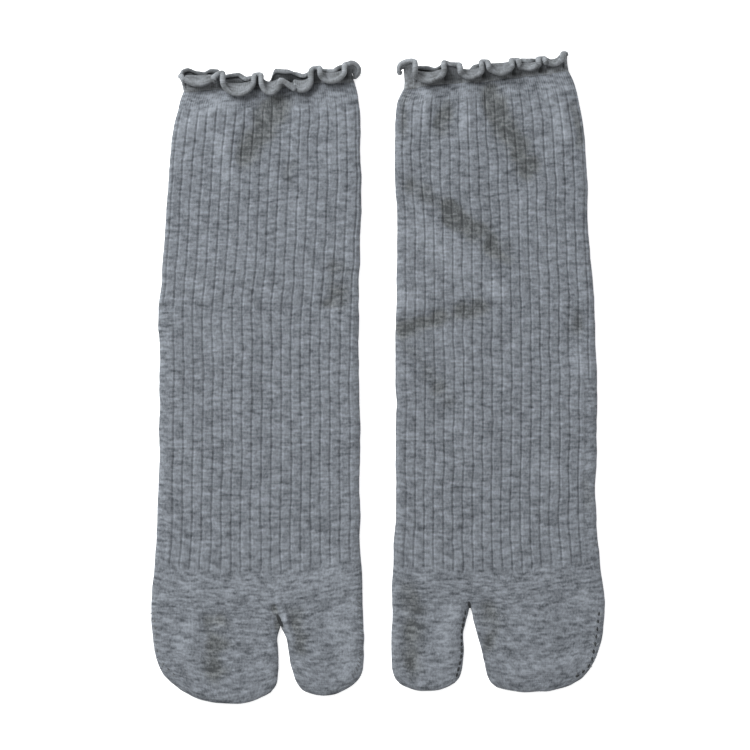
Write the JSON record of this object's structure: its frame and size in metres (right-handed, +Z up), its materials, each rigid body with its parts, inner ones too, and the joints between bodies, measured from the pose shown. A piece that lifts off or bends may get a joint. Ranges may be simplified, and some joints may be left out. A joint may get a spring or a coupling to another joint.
{
  "type": "pair of tabi socks",
  "caption": "Pair of grey rib-knitted ankle-length tabi socks with split toes and frilled cuffs, laid flat side by side.",
  "frame": {"origin": "on the surface the socks lie on, under the middle of the pair's box", "axes": "+X across the pair to the wearer-facing right, +Y from the toes to the cuffs, +Z up through the layers to the insteps"},
  "size_m": [0.2088, 0.3, 0.0132],
  "materials": {
    "rib_knit": "matt heather grey 3x1 rib knit of cotton blend",
    "plain_knit": "matt heather grey plain knit of cotton blend",
    "frill_knit": "matt heather grey knit with a rolled lettuce edge"
  },
  "bodies": {
    "root": {"left_frill": "frill_knit", "left_ribbed_tube": "rib_knit", "left_tabi_toe": "plain_knit", "right_frill": "frill_knit", "right_ribbed_tube": "rib_knit", "right_tabi_toe": "plain_knit"}
  },
  "joints": []
}
